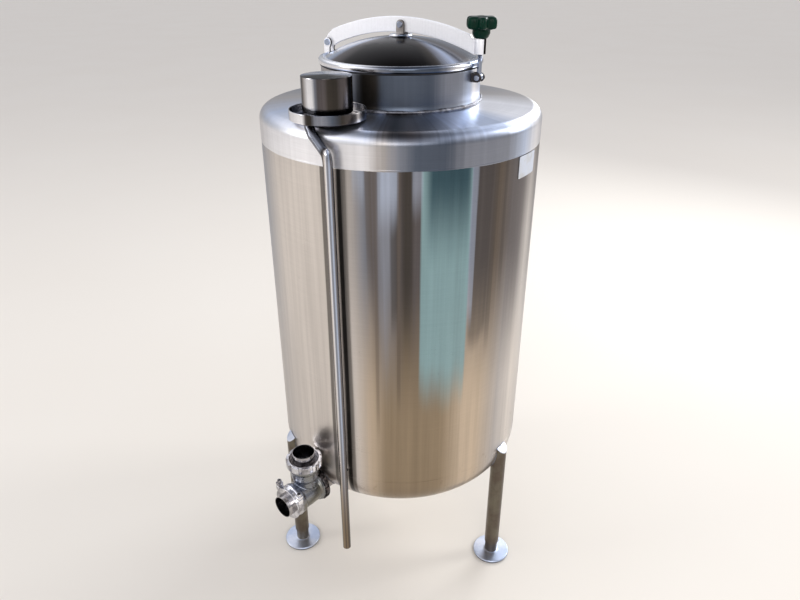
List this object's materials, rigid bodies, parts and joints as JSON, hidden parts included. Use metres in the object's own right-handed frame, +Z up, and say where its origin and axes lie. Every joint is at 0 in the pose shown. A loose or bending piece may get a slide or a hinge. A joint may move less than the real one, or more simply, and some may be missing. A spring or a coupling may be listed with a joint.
{
  "type": "stainless process tank",
  "caption": "Upright cylindrical stainless process tank on legs with round feet, a clamped dome manway lid, vent hood in a drip tray, drain pipe and bottom outlet.",
  "frame": {"origin": "middle of the part's bounding box, on the floor under the feet", "axes": "+Z up along the tank's axis, -Y towards the side with the drain pipe and outlet, +X to the right seen from that side"},
  "size_m": [0.8098, 0.9284, 1.771],
  "materials": {
    "brushed_steel": "brushed stainless, grain around the shell",
    "satin_steel": "satin blasted stainless",
    "polished_steel": "polished stainless",
    "black_rubber": "matte black rubber",
    "green_plastic": "dark green moulded plastic",
    "white_label": "blank white plate"
  },
  "bodies": {
    "tank": {"bolt_lug_front": "brushed_steel", "bolt_lug_rear": "brushed_steel", "bolt_pin": "brushed_steel", "bottom_head": "brushed_steel", "branch_liner": "brushed_steel", "branch_nut": "brushed_steel", "drain_clip": "brushed_steel", "drain_pipe": "brushed_steel", "drip_tray": "polished_steel", "foot_pad_left": "black_rubber", "foot_pad_rear": "black_rubber", "foot_pad_right": "black_rubber", "foot_plate_left": "polished_steel", "foot_plate_rear": "polished_steel", "foot_plate_right": "polished_steel", "foot_post_left": "satin_steel", "foot_post_rear": "satin_steel", "foot_post_right": "satin_steel", "hinge_ear_front": "brushed_steel", "hinge_ear_rear": "brushed_steel", "hinge_pin": "brushed_steel", "label_plate": "white_label", "leg_cap_left": "polished_steel", "leg_cap_rear": "polished_steel", "leg_cap_right": "polished_steel", "leg_left": "satin_steel", "leg_rear": "satin_steel", "leg_right": "satin_steel", "lid_gasket": "black_rubber", "manway_neck": "satin_steel", "outlet_body": "brushed_steel", "outlet_nozzle": "brushed_steel", "outlet_nut": "brushed_steel", "run_clamp": "brushed_steel", "run_liner": "brushed_steel", "shell": "brushed_steel", "top_head": "satin_steel", "vent_hood": "polished_steel", "vent_pipe": "brushed_steel"},
    "lid": {"lid": "polished_steel", "lid_beam": "polished_steel", "centre_ear_front": "brushed_steel", "centre_ear_rear": "brushed_steel", "centre_pin": "brushed_steel", "clamp_sleeve": "polished_steel", "swing_bolt": "polished_steel"},
    "knob": {"star_knob": "green_plastic"}
  },
  "joints": [
    {"name": "lid_open", "type": "hinge", "parent": "tank", "child": "lid", "pos_m": [-0.21661, 0.11184, 1.684], "axis": [-0.4384, -0.8988, 0], "range_deg": [0, 105]},
    {"name": "knob_turn", "type": "hinge", "parent": "lid", "child": "knob", "pos_m": [0.21526, -0.0988, 1.74], "axis": [0, 0, 1], "continuous": true}
  ]
}
